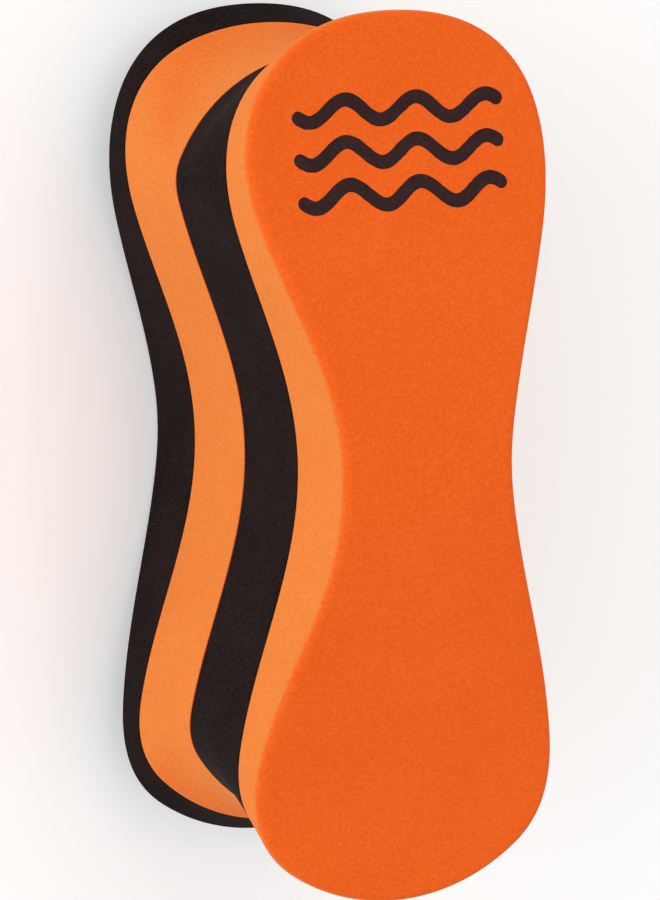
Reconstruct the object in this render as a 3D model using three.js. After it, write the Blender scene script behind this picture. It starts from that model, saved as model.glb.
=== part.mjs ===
// Pull buoy: a swimmer's leg float cut from four sheets of closed-cell foam, bonded face to face.
// Millimetres. X is the width, Y the length and Z the thickness. The float lies on the flat land in
// the middle of its back sheet, with the printed face up, and the origin is under its centre.
import * as THREE from 'three';

// Driving dimensions
const LENGTH = 240;
const WAIST_WIDTH = 50.5;
const LOBE_SPACING = 183; // wavelength of the wavy sides
const WAIST_THICKNESS = 124;
const LOBE_THICKNESS = 92;
const CORE_SHEET = 33.7; // thickness of each of the two inner sheets
const LAND_LENGTH = 20; // flat middle of each face, along Y
const FACE_TAPER_END = 96; // from here to the end, each face is flat again
const EDGE_RADIUS = 2.5; // round between a face and the side wall

// Each end is an arc across the width, hollowed along the thickness: deepest at the middle seam.
const END_SCOOP = 12.4; // how far the middle of the end is drawn in at the middle seam

// The two lobes differ a little. Each lobe's sides swing out to its width, and its end is an arc
// whose radius and whose corners' rounding change from the middle seam to the rim.
const PRINTED_LOBE = { width: 92.4, seamRadius: 47, rimRadius: 83, seamBlend: 3, rimBlend: 39 };
const PLAIN_LOBE = { width: 90.6, seamRadius: 48.3, rimRadius: 56.5, seamBlend: 4, rimBlend: 10 };

const BOND_FILM = 0.3; // adhesive between two sheets
const BOND_INSET = 1; // the film stops this far short of the wall
const BOND_CLEARANCE = 0.1; // gap between a film and the sheet on each side of it

const PRINT_CENTRE = 83.5; // Y of the middle stripe of the printed waves
const PRINT_WIDTH = 62;
const PRINT_PITCH = 11;
const PRINT_STROKE = 3.8;
const PRINT_SWING = 2.8; // height of a crest above the stripe's centre line
const PRINT_WAVELENGTH = 20.7;
const PRINT_FILM = 0.15;
const PRINT_CLEARANCE = 0.15;

const RING_POINTS = 96;
const WALL_STEPS = 6;
const ROUND_STEPS = 4;
const STROKE_STEPS = 48;
const STROKE_END_STEPS = 6;

const HALF_LENGTH = LENGTH / 2;
const HALF_WAIST_THICKNESS = WAIST_THICKNESS / 2;
const RIM_LEVEL = LOBE_THICKNESS / 2 - EDGE_RADIUS; // where the end reaches the full length
const SHEET_GAP = BOND_FILM / 2 + BOND_CLEARANCE; // from a seam plane to the sheet beside it

const orangeFoam = new THREE.MeshStandardMaterial({ color: 0xf2682a, roughness: 0.85, metalness: 0 });
const blackFoam = new THREE.MeshStandardMaterial({ color: 0x2a2022, roughness: 0.9, metalness: 0 });
const adhesive = new THREE.MeshStandardMaterial({ color: 0x8a5a3a, roughness: 0.6, metalness: 0 });
const ink = new THREE.MeshStandardMaterial({ color: 0x3a2527, roughness: 0.6, metalness: 0 });

// Half the thickness of the float at a place along its length: flat in the middle, then a half
// cosine down to the thinner lobes.
function faceHeight(y) {
  const land = LAND_LENGTH / 2;
  const along = THREE.MathUtils.clamp((Math.abs(y) - land) / (FACE_TAPER_END - land), 0, 1);
  const drop = (WAIST_THICKNESS - LOBE_THICKNESS) / 2;
  return HALF_WAIST_THICKNESS - drop * (1 - Math.cos(Math.PI * along)) / 2;
}

// The end arc of a lobe at a height above or below the middle seam.
function endArc(lobe, level) {
  const height = Math.min(Math.abs(level) / RIM_LEVEL, 1);
  const apex = HALF_LENGTH - END_SCOOP * (1 - height ** 2);
  const radius = THREE.MathUtils.lerp(lobe.seamRadius, lobe.rimRadius, height ** 2);
  const blend = THREE.MathUtils.lerp(lobe.seamBlend, lobe.rimBlend, height ** 2);
  return { apex, radius, blend };
}

// The smaller of two lengths, with the change from one to the other rounded over a blend.
function smoothMin(a, b, blend) {
  const share = THREE.MathUtils.clamp(0.5 + (b - a) / (2 * blend), 0, 1);
  return THREE.MathUtils.lerp(b, a, share) - blend * share * (1 - share);
}

// Half the width at y: a cosine wave with the waist at its trough, cut off by the end arc. On the
// waist's side of its centre the arc flares out instead of closing, clear of the wave.
function halfWidth(y, lobe, end) {
  const mean = (lobe.width + WAIST_WIDTH) / 4;
  const swing = (lobe.width - WAIST_WIDTH) / 4;
  const side = mean - swing * Math.cos(2 * Math.PI * y / LOBE_SPACING);
  const fromCentre = Math.abs(y) - (end.apex - end.radius);
  const arc = Math.sqrt(Math.max(end.radius ** 2 - fromCentre * Math.abs(fromCentre), 0));
  return smoothMin(side, arc, end.blend);
}

// One closed loop round the float, counter-clockwise from the bottom of the lower lobe, at the
// height levelAt(y), drawn in from the side wall by inset. Points i and RING_POINTS - i are mirror
// images in X.
function ring(levelAt, inset = 0) {
  const wall = [];
  for (let i = 0; i < RING_POINTS; i += 1) {
    const angle = (i / RING_POINTS) * 2 * Math.PI - Math.PI / 2;
    const lobe = Math.sin(angle) < 0 ? PLAIN_LOBE : PRINTED_LOBE;
    const end = endArc(lobe, levelAt(HALF_LENGTH * Math.sin(angle)));
    const y = end.apex * Math.sin(angle);
    wall.push(new THREE.Vector2(Math.sign(Math.cos(angle)) * halfWidth(y, lobe, end), y));
  }
  return wall.map((point, i) => {
    const before = wall[(i + RING_POINTS - 1) % RING_POINTS];
    const after = wall[(i + 1) % RING_POINTS];
    const inward = new THREE.Vector2(before.y - after.y, after.x - before.x).normalize();
    const moved = point.clone().addScaledVector(inward, inset);
    return new THREE.Vector3(moved.x, moved.y, levelAt(moved.y));
  });
}

// A closed solid through a stack of rings, lowest first. Each end is closed by straight rungs
// between mirror-image points, which follow a face that curves along Y only.
function loft(rings) {
  const positions = rings.flat().flatMap((point) => [point.x, point.y, point.z]);
  const index = [];
  for (let level = 0; level < rings.length - 1; level += 1) {
    for (let i = 0; i < RING_POINTS; i += 1) {
      const a = level * RING_POINTS + i;
      const b = level * RING_POINTS + ((i + 1) % RING_POINTS);
      index.push(a, b, b + RING_POINTS, a, b + RING_POINTS, a + RING_POINTS);
    }
  }
  const top = (rings.length - 1) * RING_POINTS;
  for (let i = 0; i < RING_POINTS / 2; i += 1) {
    const right = [i, i + 1];
    const left = [(RING_POINTS - i) % RING_POINTS, RING_POINTS - i - 1];
    if (i > 0) {
      index.push(right[0], left[0], right[1]);
      index.push(top + right[0], top + right[1], top + left[0]);
    }
    if (right[1] !== left[1]) {
      index.push(left[0], left[1], right[1]);
      index.push(top + left[0], top + right[1], top + left[1]);
    }
  }
  const geometry = new THREE.BufferGeometry();
  geometry.setAttribute('position', new THREE.Float32BufferAttribute(positions, 3));
  geometry.setIndex(index);
  return geometry;
}

// A slab of the float between two heights, in a number of steps up the wall.
function slab(bottom, top, steps, inset = 0) {
  const rings = [];
  for (let step = 0; step <= steps; step += 1) {
    const level = THREE.MathUtils.lerp(bottom, top, step / steps);
    rings.push(ring(() => level, inset));
  }
  return loft(rings);
}

// An outer sheet: from the seam out to the curved face, with a rounded edge. Side is 1 for the
// front sheet and -1 for the back sheet, whose rings are stacked the other way round.
function outerSheet(side) {
  const seam = CORE_SHEET + SHEET_GAP;
  const shoulder = (y) => faceHeight(y) - EDGE_RADIUS;
  const rings = [];
  for (let step = 0; step <= WALL_STEPS; step += 1) {
    const levelAt = (y) => side * THREE.MathUtils.lerp(seam, shoulder(y), step / WALL_STEPS);
    rings.push(ring(levelAt));
  }
  for (let step = 1; step <= ROUND_STEPS; step += 1) {
    const angle = (step / ROUND_STEPS) * Math.PI / 2;
    const levelAt = (y) => side * (shoulder(y) + EDGE_RADIUS * Math.sin(angle));
    rings.push(ring(levelAt, EDGE_RADIUS * (1 - Math.cos(angle))));
  }
  return loft(side > 0 ? rings : rings.reverse());
}

// The film of adhesive at a seam, held back from the wall.
function bondFilm(seam) {
  return slab(seam - BOND_FILM / 2, seam + BOND_FILM / 2, 1, BOND_INSET);
}

// One printed stripe: a sine wave of even thickness with round ends, laid along the curved face.
function printedWave(centreY) {
  const turn = 2 * Math.PI / PRINT_WAVELENGTH;
  const straight = PRINT_WIDTH - PRINT_STROKE;
  const edge = (along, offset) => {
    const x = straight * (along - 0.5);
    const slope = PRINT_SWING * turn * Math.cos(turn * x);
    const across = new THREE.Vector2(-slope, 1).normalize().multiplyScalar(offset);
    return new THREE.Vector2(x, centreY + PRINT_SWING * Math.sin(turn * x)).add(across);
  };
  const radius = PRINT_STROKE / 2;
  const outline = [];
  for (let step = 0; step < STROKE_STEPS; step += 1) {
    outline.push(edge(step / STROKE_STEPS, -radius));
  }
  for (let step = 0; step < STROKE_END_STEPS; step += 1) {
    const middle = edge(1, 0);
    const turnBack = Math.PI * step / STROKE_END_STEPS;
    outline.push(edge(1, -radius).rotateAround(middle, turnBack));
  }
  for (let step = 0; step < STROKE_STEPS; step += 1) {
    outline.push(edge(1 - step / STROKE_STEPS, radius));
  }
  for (let step = 0; step < STROKE_END_STEPS; step += 1) {
    const middle = edge(0, 0);
    const turnBack = Math.PI * step / STROKE_END_STEPS;
    outline.push(edge(0, radius).rotateAround(middle, turnBack));
  }
  const shape = new THREE.Shape(outline);
  const geometry = new THREE.ExtrudeGeometry(shape, { depth: PRINT_FILM, bevelEnabled: false });
  const position = geometry.getAttribute('position');
  for (let i = 0; i < position.count; i += 1) {
    const onFace = faceHeight(position.getY(i)) + PRINT_CLEARANCE;
    position.setZ(i, position.getZ(i) + onFace);
  }
  return geometry;
}

function named(name, geometry, material) {
  const mesh = new THREE.Mesh(geometry, material);
  mesh.name = name;
  return mesh;
}

const sheets = new THREE.Group();
sheets.add(
  named('front_sheet', outerSheet(1), orangeFoam),
  named('front_core_sheet', slab(SHEET_GAP, CORE_SHEET - SHEET_GAP, WALL_STEPS), blackFoam),
  named('back_core_sheet', slab(SHEET_GAP - CORE_SHEET, -SHEET_GAP, WALL_STEPS), orangeFoam),
  named('back_sheet', outerSheet(-1), blackFoam),
);

const bonds = new THREE.Group();
bonds.add(
  named('front_bond', bondFilm(CORE_SHEET), adhesive),
  named('middle_bond', bondFilm(0), adhesive),
  named('back_bond', bondFilm(-CORE_SHEET), adhesive),
);

const print = new THREE.Group();
print.add(
  named('upper_printed_wave', printedWave(PRINT_CENTRE + PRINT_PITCH), ink),
  named('middle_printed_wave', printedWave(PRINT_CENTRE), ink),
  named('lower_printed_wave', printedWave(PRINT_CENTRE - PRINT_PITCH), ink),
);

const pullBuoy = new THREE.Group();
pullBuoy.add(sheets, bonds, print);
pullBuoy.position.z = HALF_WAIST_THICKNESS;

export default pullBuoy;
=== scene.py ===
# Pull buoy: four sheets of closed-cell foam bonded face to face, with three printed waves.
# Metres. X is the width, Y the length towards the printed end, Z the thickness, up from the floor.
import math

import bpy
import numpy as np
from mathutils import Matrix, Vector


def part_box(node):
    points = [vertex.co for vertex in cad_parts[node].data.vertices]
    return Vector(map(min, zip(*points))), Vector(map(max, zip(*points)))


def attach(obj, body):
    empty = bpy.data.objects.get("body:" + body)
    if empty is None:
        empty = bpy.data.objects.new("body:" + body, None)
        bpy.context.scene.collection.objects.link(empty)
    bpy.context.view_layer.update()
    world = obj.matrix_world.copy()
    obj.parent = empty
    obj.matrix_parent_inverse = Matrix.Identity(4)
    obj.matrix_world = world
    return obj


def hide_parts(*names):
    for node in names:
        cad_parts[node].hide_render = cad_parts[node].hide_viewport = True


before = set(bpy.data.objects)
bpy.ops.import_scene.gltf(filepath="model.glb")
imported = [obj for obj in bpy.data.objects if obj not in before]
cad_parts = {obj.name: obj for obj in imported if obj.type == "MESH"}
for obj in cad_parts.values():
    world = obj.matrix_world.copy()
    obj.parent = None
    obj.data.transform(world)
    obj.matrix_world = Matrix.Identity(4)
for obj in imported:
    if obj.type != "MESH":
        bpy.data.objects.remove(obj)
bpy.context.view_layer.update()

MM = 0.001

# The float's main sizes, read from the frame
front_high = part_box("front_sheet")[1]
middle_low, middle_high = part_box("middle_bond")
front_bond_low, front_bond_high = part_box("front_bond")
MIDDLE = (middle_low.z + middle_high.z) / 2
HALF_THICKNESS = front_high.z - MIDDLE
HALF_LENGTH = front_high.y
SEAM = (front_bond_low.z + front_bond_high.z) / 2 - MIDDLE

# Its shape between those sizes, as the frame has it
WAIST_HALF_WIDTH = 25.25 * MM
LOBE_SPACING = 183.0 * MM  # wavelength of the wavy sides
LOBE_HALF_THICKNESS = 46.0 * MM
LAND_HALF_LENGTH = 10.0 * MM  # each face is flat this far from its middle
FACE_TAPER_END = 96.0 * MM  # and flat again from here to the end
FACE_ROUND = 2.5 * MM  # round between a face and the side wall
RIM_LEVEL = LOBE_HALF_THICKNESS - FACE_ROUND
END_SCOOP = 12.4 * MM  # how far the end is drawn in at the middle seam

# Each of these as (printed lobe, plain lobe): the half width its sides swing out to, the radius of
# its end arc at the middle seam and at the rim, and the rounding of its corners at both
LOBE_HALF_WIDTH = (46.2 * MM, 45.3 * MM)
SEAM_RADIUS = (47.0 * MM, 48.3 * MM)
RIM_RADIUS = (83.0 * MM, 56.5 * MM)
SEAM_BLEND = (3.0 * MM, 4.0 * MM)
RIM_BLEND = (39.0 * MM, 10.0 * MM)

# The fine groove along each seam, and the film of adhesive inside it
SEAM_ROUND = 0.35 * MM
SEAM_GROOVE = 0.1 * MM
HALF_GROOVE = SEAM_GROOVE / 2.0
FILM_INSET = SEAM_ROUND + 0.2 * MM

# The mesh of the foam: points in each loop, loops up a wall, round an edge and across a face, and
# the sizes of the loops that fill a flat side, as shares of its outline
AROUND = 720
WALL_ROWS = 30
ROUND_ROWS = 12
SEAM_ROUND_ROWS = 5
FACE_ROWS = 40
FLAT_SHARES = np.linspace(0.1, 0.9, 6)
FILM_SHARES = np.linspace(0.25, 0.75, 3)

# The printed waves
PRINT_STROKE = 3.8 * MM
PRINT_SWING = 2.8 * MM  # height of a crest above the stripe's centre line
PRINT_WAVELENGTH = 20.7 * MM
PRINT_LIFT = 0.04 * MM  # how far the ink stands off the foam
INK_ROWS = 240  # cross-sections along a stripe
INK_END_ROWS = 14  # and round each of its ends
INK_ACROSS = 13  # points across the top of a cross-section
INK_FLATNESS = 8  # the higher, the flatter its top and the tighter its edges

# Grain of the foam. Scales are in cells per metre, and a strength is how far a noise shifts a
# colour from one of its two shades to the other.
GRAIN_DETAIL = 3.0
MOTTLE_SCALE = 45.0
MOTTLE_STRENGTH = 0.8
CELL_SCALE = 1100.0
CELL_STRENGTH = 3.4
CELL_ROUGHNESS = 0.65
PORE_SCALE = 900.0
SKIN_UPRIGHT = 0.8  # the foam is all skin where its normal is at least this upright
SMOOTHEST = 0.74  # the surface's roughness at its smoothest, and how much rougher it can get
ROUGHER = 0.2

# How far each part of the grain stands up, as a share of the relief's full depth
RELIEF_DEPTH = 0.4 * MM
CELL_RELIEF = 0.7
SKIN_PORE_RELIEF = 0.2
CUT_PORE_RELIEF = 0.5  # more than on the skin, on a sawn wall

# Grain of the ink, which thins over the foam's cells and in broader patches
INK_CELL_SCALE = 850.0
INK_CELL_STRENGTH = 2.0
INK_PATCH_SCALE = 120.0
INK_PATCH_DETAIL = 2.0
INK_PATCH_STRENGTH = 0.8
INK_SMOOTHEST = 0.6
INK_ROUGHER = 0.25
INK_GRAIN_DEPTH = 0.35
INK_RELIEF_DEPTH = 0.3 * MM
INK_GLOSS = 0.15

# Smears of the dried adhesive
SMEAR_SCALE = 300.0
SMEAR_SMOOTHEST = 0.45
SMEAR_ROUGHER = 0.3
SMEAR_GRAIN_DEPTH = 0.3
SMEAR_RELIEF_DEPTH = 0.2 * MM

# Studio: the floor, the room's brightness, and where each soft box stands and its power in watts
FLOOR_SIZE = 8.0
FLOOR_GLOW = 0.23  # a faint light of its own
FLOOR_GREYS = (0.92, 0.95)
FLOOR_GRAIN_SCALE = 3.0
FLOOR_GRAIN_DETAIL = 2.0
FLOOR_ROUGHNESS = 0.9
ROOM_STRENGTH = 0.7
BOX_SIZE = 0.9
LEFT_BOX = (-1.1, 0.15, 0.8)
LEFT_POWER = 4.0
TOP_BOX = (0.1, 0.7, 1.2)
TOP_POWER = 2.0
WHITE = (1.0, 1.0, 1.0)
WARM_WHITE = (1.0, 0.97, 0.88)

# Camera: its turn and tilt away from the printed face's normal, and where it aims, as steps to its
# own right and down from the float's middle
CAMERA_TURN = math.radians(26.0)
CAMERA_TILT = math.radians(8.9)
CAMERA_ROLL = math.radians(0.95)
CAMERA_DISTANCE = 0.9818
AIM_RIGHT = 0.85 * MM
AIM_DOWN = 2.28 * MM
LENS = 141.5
SENSOR_WIDTH = 36.0


def smooth_step(low, high, value):
    """0 below low, 1 above high, and 3t^2 - 2t^3 between them."""
    t = np.clip((value - low) / (high - low), 0.0, 1.0)
    return t * t * (3.0 - 2.0 * t)


def smooth_min(a, b, blend):
    """The smaller of two lengths, with the change between them rounded over a blend."""
    share = np.clip(0.5 + (b - a) / (2.0 * blend), 0.0, 1.0)
    return b + (a - b) * share - blend * share * (1.0 - share)


def face_height(y):
    """Half the thickness at y: flat in the middle, then a half cosine down to the lobes."""
    along = (np.abs(y) - LAND_HALF_LENGTH) / (FACE_TAPER_END - LAND_HALF_LENGTH)
    drop = HALF_THICKNESS - LOBE_HALF_THICKNESS
    return HALF_THICKNESS - drop * (1.0 - np.cos(np.pi * np.clip(along, 0.0, 1.0))) / 2.0


def shoulder(y):
    """The height where the side wall ends and the round up to the face begins."""
    return face_height(y) - FACE_ROUND


def flat(level):
    """A height that is the same all along the float."""
    return lambda y: np.full_like(y, level)


def wall(angle, level):
    """Where the side wall stands, at an angle round the float and a height above the middle seam.

    Y runs as the sine of the angle up to the end's apex. X is a cosine wave along Y, narrowest at
    the waist, cut off by the end's arc. The apex is drawn in towards the middle seam, as a square
    of the height, which hollows the end. On the waist's side of its centre the arc flares out, clear
    of the wave.
    """
    height = np.minimum(np.abs(level) / RIM_LEVEL, 1.0)
    printed = np.sin(angle) >= 0.0
    lobe_half, seam_radius, rim_radius, seam_blend, rim_blend = (
        np.where(printed, *pair)
        for pair in (LOBE_HALF_WIDTH, SEAM_RADIUS, RIM_RADIUS, SEAM_BLEND, RIM_BLEND)
    )
    apex = HALF_LENGTH - END_SCOOP * (1.0 - height**2)
    radius = seam_radius + (rim_radius - seam_radius) * height**2
    blend = seam_blend + (rim_blend - seam_blend) * height**2
    y = apex * np.sin(angle)
    mean = (lobe_half + WAIST_HALF_WIDTH) / 2.0
    swing = (lobe_half - WAIST_HALF_WIDTH) / 2.0
    side = mean - swing * np.cos(2.0 * np.pi * y / LOBE_SPACING)
    from_centre = np.abs(y) - (apex - radius)
    arc = np.sqrt(np.maximum(radius**2 - from_centre * np.abs(from_centre), 0.0))
    return np.sign(np.cos(angle)) * smooth_min(side, arc, blend), y


def ring(level_at, inset):
    """A loop round the float at the height level_at(y), drawn in from the wall by inset.

    It starts at the tip of the plain end and passes the right side first. The way in is square to
    the line between each point's two neighbours.
    """
    angle = np.arange(AROUND) / AROUND * 2.0 * np.pi - np.pi / 2.0
    x, y = wall(angle, level_at(HALF_LENGTH * np.sin(angle)))
    run_x = np.roll(x, -1) - np.roll(x, 1)
    run_y = np.roll(y, -1) - np.roll(y, 1)
    length = np.hypot(run_x, run_y)
    x = x - inset * run_y / length
    y = y + inset * run_x / length
    return np.stack([x, y, level_at(y)], axis=1)


def shrunk(loop, level_at, shares):
    """Copies of a loop, each drawn towards the float's middle to a share of its size, at the height
    level_at(y)."""
    loops = []
    for share in shares:
        x = loop[:, 0] * share
        y = loop[:, 1] * share
        loops.append(np.stack([x, y, level_at(y)], axis=1))
    return loops


def seam_side(level, out):
    """The flat side of a sheet at a seam, from its middle out, then its small rounded edge.

    Out is 1 where the sheet lies above the seam and -1 where it lies below.
    """
    edge = []
    for turn in np.linspace(0.0, np.pi / 2.0, SEAM_ROUND_ROWS):
        rise = SEAM_ROUND * (1.0 - np.cos(turn))
        edge.append(ring(flat(level + out * rise), SEAM_ROUND * (1.0 - np.sin(turn))))
    return shrunk(edge[0], flat(level), FLAT_SHARES) + edge


def core_loops(bottom, top):
    """The loops of an inner sheet, from the middle of its lower side to the middle of its upper."""
    levels = np.linspace(bottom + SEAM_ROUND, top - SEAM_ROUND, WALL_ROWS + 1)[1:-1]
    walls = [ring(flat(level), 0.0) for level in levels]
    return seam_side(bottom, 1.0) + walls + seam_side(top, -1.0)[::-1]


def outer_loops(bottom):
    """The loops of an outer sheet, from the middle of its seam side, over its rounded edge, to the
    middle of its curved face."""
    low = bottom + SEAM_ROUND

    def wall_level(share):
        return lambda y: low + (shoulder(y) - low) * share

    def round_level(turn):
        return lambda y: shoulder(y) + FACE_ROUND * np.sin(turn)

    walls = [ring(wall_level(share), 0.0) for share in np.linspace(0.0, 1.0, WALL_ROWS)[1:]]
    turns = np.linspace(0.0, np.pi / 2.0, ROUND_ROWS)[1:]
    rounded = [ring(round_level(turn), FACE_ROUND * (1.0 - np.cos(turn))) for turn in turns]
    face = shrunk(rounded[-1], face_height, np.linspace(1.0, 0.0, FACE_ROWS + 1)[1:-1])
    return seam_side(bottom, 1.0) + walls + rounded + face


def turned_over(loops):
    """The loops mirrored below the middle seam, in order from the lowest."""
    return [loop * np.array([1.0, 1.0, -1.0]) for loop in loops][::-1]


def raised(loops):
    """The loops lifted from the middle seam's own height to the float's place on the floor."""
    return [loop + np.array([0.0, 0.0, MIDDLE]) for loop in loops]


def closed_mesh(name, loops):
    """A closed surface through a stack of loops, with a pole in the middle of the first and last.

    Quads join each loop to the next, and triangles join the first and last to their poles.
    """
    stack = np.array(loops)
    count, around = stack.shape[:2]
    poles = np.array([stack[0].mean(axis=0), stack[-1].mean(axis=0)])
    points = np.concatenate([stack.reshape(-1, 3), poles])
    here = np.arange(around)
    after = (here + 1) % around
    low = (np.arange(count - 1) * around)[:, None]
    quads = np.stack([low + here, low + after, low + around + after, low + around + here], axis=2)
    first = count * around
    last = (count - 1) * around
    foot = np.stack([np.full(around, first), after, here], axis=1)
    crown = np.stack([np.full(around, first + 1), last + here, last + after], axis=1)
    faces = quads.reshape(-1, 4).tolist() + foot.tolist() + crown.tolist()
    mesh = bpy.data.meshes.new(name)
    mesh.from_pydata(points.tolist(), [], faces)
    mesh.shade_smooth()
    piece = bpy.data.objects.new(name, mesh)
    bpy.context.scene.collection.objects.link(piece)
    return piece


def mark_cut_and_lit_wall(piece):
    """Stores cut_and_lit_wall on each point: 1 on the sawn side walls, 0 on the skins of the two
    faces.

    It falls smoothly from one to the other as the point's normal turns upright. The paler colour
    it brings to the walls is partly painted light.
    """
    mesh = piece.data
    normals = np.zeros(len(mesh.vertices) * 3)
    mesh.vertex_normals.foreach_get("vector", normals)
    upright = np.abs(normals.reshape(-1, 3)[:, 2])
    share = 1.0 - smooth_step(0.0, SKIN_UPRIGHT, upright)
    attribute = mesh.attributes.new("cut_and_lit_wall", "FLOAT", "POINT")
    attribute.data.foreach_set("value", share.astype(np.float32))


class Value:
    """A number from a shader node's socket, so that maths on it is written as an expression."""

    def __init__(self, shader, socket):
        self.shader = shader
        self.socket = socket

    def maths(self, operation, first, second):
        return self.shader.node("ShaderNodeMath", {"operation": operation}, {0: first, 1: second})

    def __add__(self, other):
        return self.maths("ADD", self, other)

    def __radd__(self, other):
        return self.maths("ADD", other, self)

    def __sub__(self, other):
        return self.maths("SUBTRACT", self, other)

    def __rsub__(self, other):
        return self.maths("SUBTRACT", other, self)

    def __mul__(self, other):
        return self.maths("MULTIPLY", self, other)

    def __rmul__(self, other):
        return self.maths("MULTIPLY", other, self)

    def clamped(self):
        return self.shader.node("ShaderNodeClamp", {}, {"Value": self}, "Result")


class Shader:
    """A material's node tree, built one node at a time."""

    def __init__(self, name):
        self.material = bpy.data.materials.new(name)
        self.material.use_nodes = True
        self.tree = self.material.node_tree
        self.surface = self.tree.nodes["Principled BSDF"]

    def node(self, kind, settings, inputs, output=0):
        """One node: its settings are set first, then each input gets its number or its link."""
        made = self.tree.nodes.new(kind)
        for key, setting in settings.items():
            setattr(made, key, setting)
        for key, given in inputs.items():
            self.feed(made.inputs[key], given)
        return Value(self, made.outputs[output])

    def feed(self, socket, given):
        """Links a socket to a Value, or sets it to a number or a colour."""
        if isinstance(given, Value):
            self.tree.links.new(given.socket, socket)
        else:
            socket.default_value = given

    def mix(self, share, first, second):
        """A colour between two, by a share from 0 to 1."""
        settings = {"data_type": "RGBA", "blend_type": "MIX"}
        return self.node("ShaderNodeMix", settings, {0: share, 6: first, 7: second}, 2)

    def noise(self, place, scale, detail, roughness=0.5):
        """Soft noise from about 0.3 to 0.7, with its grain 1 / scale metres across."""
        inputs = {"Vector": place, "Scale": scale, "Detail": detail, "Roughness": roughness}
        return self.node("ShaderNodeTexNoise", {"noise_dimensions": "3D"}, inputs, "Fac")

    def pores(self, place, scale):
        """The distance to the nearest of many scattered points, 1 / scale metres apart."""
        inputs = {"Vector": place, "Scale": scale}
        return self.node("ShaderNodeTexVoronoi", {"feature": "F1"}, inputs, "Distance")

    def place(self):
        """The coordinates of the piece's own object."""
        return self.node("ShaderNodeTexCoord", {}, {}, "Object")

    def attribute(self, name):
        """A number stored on the piece's points."""
        return self.node("ShaderNodeAttribute", {"attribute_name": name}, {}, "Fac")

    def bump(self, height, strength, distance):
        """A normal tilted by a height, whose full relief is distance deep."""
        inputs = {"Height": height, "Strength": strength, "Distance": distance}
        return self.node("ShaderNodeBump", {}, inputs, "Normal")

    def finish(self, **inputs):
        """Feeds the surface's own sockets, named with _ for a space, and gives the material."""
        for name, given in inputs.items():
            self.feed(self.surface.inputs[name.replace("_", " ")], given)
        return self.material


def grey(level):
    """A grey from 0, black, to 1, white, as a colour."""
    return (level, level, level, 1.0)


def linear(red, green, blue):
    """A colour given as 0 to 255 on a screen, as the light it stands for."""
    def light(level):
        share = level / 255.0
        return share / 12.92 if share <= 0.04045 else ((share + 0.055) / 1.055) ** 2.4
    return (light(red), light(green), light(blue), 1.0)


def foam(name, skins, sawn_and_lit_shades, grain_depth, gloss):
    """Closed-cell foam: a fine skin on the faces and a paler, more open grain on sawn walls.

    Skins and sawn walls each have a pair of shades; the walls' orange pair is paler partly from the
    cut foam's own colour and partly as painted light. Broad soft noise mottles a colour between its
    two shades, cell-sized noise speckles it, and the same cells, with finer pores, lift a small
    bump.
    """
    shader = Shader(name)
    place = shader.place()
    sawn_and_lit_share = shader.attribute("cut_and_lit_wall")
    mottle = shader.noise(place, MOTTLE_SCALE, GRAIN_DETAIL)
    cells = shader.noise(place, CELL_SCALE, GRAIN_DETAIL, CELL_ROUGHNESS)
    pores = shader.pores(place, PORE_SCALE)
    shade = ((mottle - 0.5) * MOTTLE_STRENGTH + (cells - 0.5) * CELL_STRENGTH + 0.5).clamped()
    # Sawn walls take the paler colour, partly the cut foam's own and partly painted light.
    colour = shader.mix(sawn_and_lit_share, shader.mix(shade, *skins), shader.mix(shade, *sawn_and_lit_shades))
    height = cells * CELL_RELIEF + pores * (sawn_and_lit_share * CUT_PORE_RELIEF + SKIN_PORE_RELIEF)
    rough = SMOOTHEST + cells * ROUGHER
    normal = shader.bump(height, grain_depth, RELIEF_DEPTH)
    shader.surface.inputs["Specular IOR Level"].default_value = gloss
    return shader.finish(Base_Color=colour, Roughness=rough, Normal=normal)


def printed_ink(shades):
    """Matt ink on foam: nearly black, thinner over the cells of the foam beneath it."""
    shader = Shader("printed_ink")
    place = shader.place()
    cells = shader.noise(place, INK_CELL_SCALE, GRAIN_DETAIL, CELL_ROUGHNESS)
    patches = shader.noise(place, INK_PATCH_SCALE, INK_PATCH_DETAIL)
    thin = ((cells - 0.5) * INK_CELL_STRENGTH + (patches - 0.5) * INK_PATCH_STRENGTH + 0.5).clamped()
    colour = shader.mix(thin, *shades)
    rough = INK_SMOOTHEST + cells * INK_ROUGHER
    normal = shader.bump(cells, INK_GRAIN_DEPTH, INK_RELIEF_DEPTH)
    shader.surface.inputs["Specular IOR Level"].default_value = INK_GLOSS
    return shader.finish(Base_Color=colour, Roughness=rough, Normal=normal)


def dried_adhesive(shades):
    """The edge of the adhesive film, seen only at the bottom of each seam's fine groove."""
    shader = Shader("dried_adhesive")
    smears = shader.noise(shader.place(), SMEAR_SCALE, GRAIN_DETAIL)
    colour = shader.mix(smears, *shades)
    rough = SMEAR_SMOOTHEST + smears * SMEAR_ROUGHER
    normal = shader.bump(smears, SMEAR_GRAIN_DEPTH, SMEAR_RELIEF_DEPTH)
    return shader.finish(Base_Color=colour, Roughness=rough, Normal=normal)


def finish_piece(piece, node, material):
    """Gives a new piece its material, and has it stand for its frame node."""
    piece.data.materials.append(material)
    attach(piece, "root")
    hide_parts(node)
    return piece


def foam_sheet(node, loops, material):
    """A sheet of foam, built as a closed mesh."""
    piece = closed_mesh(node + "_foam", raised(loops))
    mark_cut_and_lit_wall(piece)
    finish_piece(piece, node, material)
    return piece


def bond_film(node, seam, material):
    """The adhesive at a seam: a thin slab that stops just short of the wall."""
    sides = []
    for level in (seam - HALF_GROOVE, seam + HALF_GROOVE):
        edge = ring(flat(level), FILM_INSET)
        sides.append(shrunk(edge, flat(level), FILM_SHARES) + [edge])
    piece = closed_mesh(node + "_film", raised(sides[0] + sides[1][::-1]))
    return finish_piece(piece, node, material)


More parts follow.
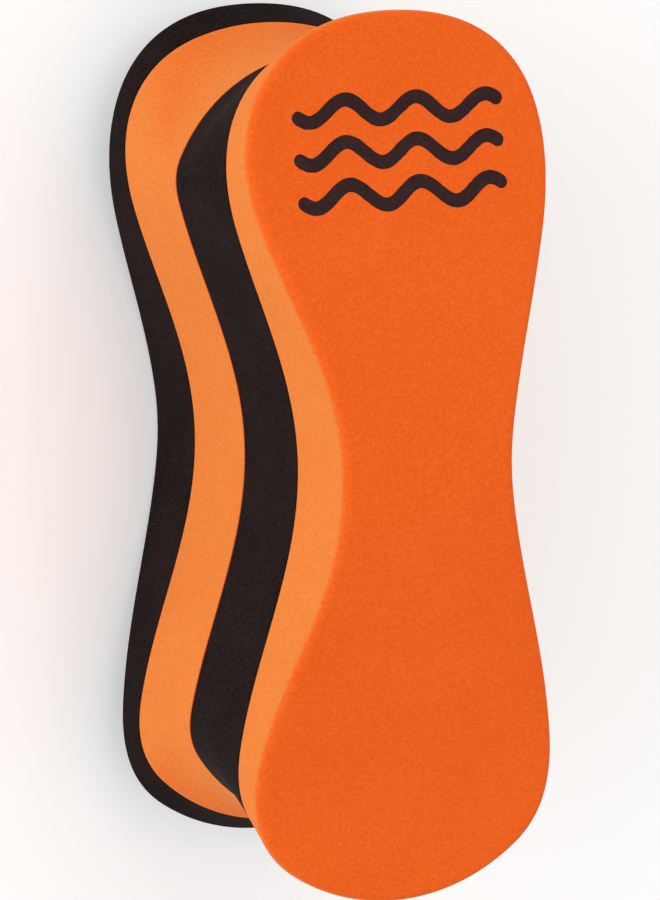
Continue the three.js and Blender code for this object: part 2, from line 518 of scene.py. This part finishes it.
def printed_wave(node, material):
    """A stripe of ink along a sine wave, as a closed film that follows the curved face.

    Each loop is the film's cross-section, square to the wave. Its half width is the stroke's,
    closing in a half circle over each end. Its top rises from the foam at each edge to the full
    lift between them, and its underside lies as far beneath the foam's surface.
    """
    low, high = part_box(node)
    centre_y = (low.y + high.y) / 2.0
    reach = (high.x - low.x) / 2.0
    radius = PRINT_STROKE / 2.0
    body_reach = reach - radius
    turn = 2.0 * np.pi / PRINT_WAVELENGTH

    # Where each cross-section stands along the stripe, and how far past the body each end's are
    end_turns = np.linspace(0.0, np.pi / 2.0, INK_END_ROWS)
    body = np.linspace(-body_reach, body_reach, INK_ROWS)
    left_end = -body_reach - radius * np.cos(end_turns)
    right_end = body_reach + radius * np.sin(end_turns)
    along = np.concatenate([left_end[1:], body[1:-1], right_end[:-1]])
    held = np.clip(along, -body_reach, body_reach)
    past = along - held
    half = np.sqrt(np.maximum(radius**2 - past**2, 0.0))

    # The stripe's centre line, which runs on straight past the body at each end
    slope = PRINT_SWING * turn * np.cos(turn * held)
    bend = np.hypot(1.0, slope)
    centre_x = held + past / bend
    wave_y = centre_y + PRINT_SWING * np.sin(turn * held) + past * slope / bend

    # Each cross-section runs over the top from one edge to the other, then back underneath
    share = np.linspace(-1.0, 1.0, INK_ACROSS)
    across = np.concatenate([share, share[-2:0:-1]])
    lift = np.concatenate([1.0 - share**INK_FLATNESS, np.full(len(share) - 2, -1.0)])
    x = centre_x[:, None] - across[None] * (half * slope / bend)[:, None]
    y = wave_y[:, None] + across[None] * (half / bend)[:, None]
    z = face_height(y) + PRINT_LIFT * lift[None]
    loops = np.stack([x, y, z], axis=2)[:, ::-1]
    piece = closed_mesh(node + "_ink", raised(list(loops)))
    return finish_piece(piece, node, material)


def floor():
    """A wide, flat, pale floor. A faint glow of its own keeps its shadows light."""
    bpy.ops.mesh.primitive_plane_add(size=FLOOR_SIZE, location=(0.0, 0.0, 0.0))
    plane = bpy.context.object
    plane.name = "floor"
    shader = Shader("pale_floor")
    grain = shader.noise(shader.place(), FLOOR_GRAIN_SCALE, FLOOR_GRAIN_DETAIL)
    darker, lighter = FLOOR_GREYS
    colour = shader.mix(grain, grey(darker), grey(lighter))
    shader.surface.inputs["Emission Color"].default_value = grey(1.0)
    shader.surface.inputs["Emission Strength"].default_value = FLOOR_GLOW
    plane.data.materials.append(shader.finish(Base_Color=colour, Roughness=FLOOR_ROUGHNESS))


def soft_light(name, place, power, colour):
    """A square soft box at a place, facing the float's middle."""
    lamp = bpy.data.lights.new(name, "AREA")
    lamp.size = BOX_SIZE
    lamp.energy = power
    lamp.color = colour
    box = bpy.data.objects.new(name, lamp)
    bpy.context.scene.collection.objects.link(box)
    box.location = place
    toward = Vector((0.0, 0.0, MIDDLE)) - Vector(place)
    box.rotation_euler = toward.to_track_quat("-Z", "Y").to_euler()


def studio():
    """Plain soft light: a pale room, a soft box high on the left, and a weaker, warmer one higher
    up past the printed end."""
    world = bpy.data.worlds.new("pale_room")
    bpy.context.scene.world = world
    world.use_nodes = True
    background = world.node_tree.nodes["Background"]
    background.inputs["Color"].default_value = grey(1.0)
    background.inputs["Strength"].default_value = ROOM_STRENGTH
    soft_light("left_box", LEFT_BOX, LEFT_POWER, WHITE)
    soft_light("top_box", TOP_BOX, TOP_POWER, WARM_WHITE)
    bpy.context.scene.view_settings.view_transform = "Standard"


def camera():
    """A long lens, left of the printed face's normal and a little towards the printed end."""
    ahead = Vector((
        math.sin(CAMERA_TURN) * math.cos(CAMERA_TILT),
        -math.sin(CAMERA_TILT),
        -math.cos(CAMERA_TURN) * math.cos(CAMERA_TILT),
    ))
    level_right = Vector((math.cos(CAMERA_TURN), 0.0, math.sin(CAMERA_TURN)))
    level_up = level_right.cross(ahead)
    right = level_right * math.cos(CAMERA_ROLL) - level_up * math.sin(CAMERA_ROLL)
    up = level_right * math.sin(CAMERA_ROLL) + level_up * math.cos(CAMERA_ROLL)
    aim = Vector((0.0, 0.0, MIDDLE)) + right * AIM_RIGHT - up * AIM_DOWN
    lens = bpy.data.cameras.new("long_lens")
    lens.sensor_width = SENSOR_WIDTH
    lens.lens = LENS
    eye = bpy.data.objects.new("camera", lens)
    bpy.context.scene.collection.objects.link(eye)
    turned = Matrix((right, up, -ahead)).transposed().to_4x4()
    eye.matrix_world = Matrix.Translation(aim - ahead * CAMERA_DISTANCE) @ turned
    bpy.context.scene.camera = eye


# Each colour as two shades: the foam's for the skins of the faces and for sawn walls. The sawn
# orange is paler partly as painted light.
orange_skins = (linear(253, 109, 35), linear(244, 95, 22))
orange_sawn_and_lit = (linear(244, 140, 64), linear(235, 127, 51))
black_skins = (linear(6, 1, 1), linear(40, 25, 24))
black_cuts = (linear(6, 1, 1), linear(42, 26, 25))
ink_shades = (linear(40, 20, 22), linear(62, 38, 38))
adhesive_shades = (linear(92, 50, 34), linear(128, 76, 48))
orange = foam("orange_foam", orange_skins, orange_sawn_and_lit, grain_depth=0.22, gloss=0.12)
black = foam("black_foam", black_skins, black_cuts, grain_depth=0.3, gloss=0.08)
adhesive = dried_adhesive(adhesive_shades)
ink = printed_ink(ink_shades)

outer = outer_loops(SEAM + HALF_GROOVE)
core = core_loops(HALF_GROOVE, SEAM - HALF_GROOVE)
foam_sheet("front_sheet", outer, orange)
foam_sheet("front_core_sheet", core, black)
foam_sheet("back_core_sheet", turned_over(core), orange)
foam_sheet("back_sheet", turned_over(outer), black)
for bond, seam in (("front_bond", SEAM), ("middle_bond", 0.0), ("back_bond", -SEAM)):
    bond_film(bond, seam, adhesive)
for wave in ("upper_printed_wave", "middle_printed_wave", "lower_printed_wave"):
    printed_wave(wave, ink)

floor()
studio()
camera()
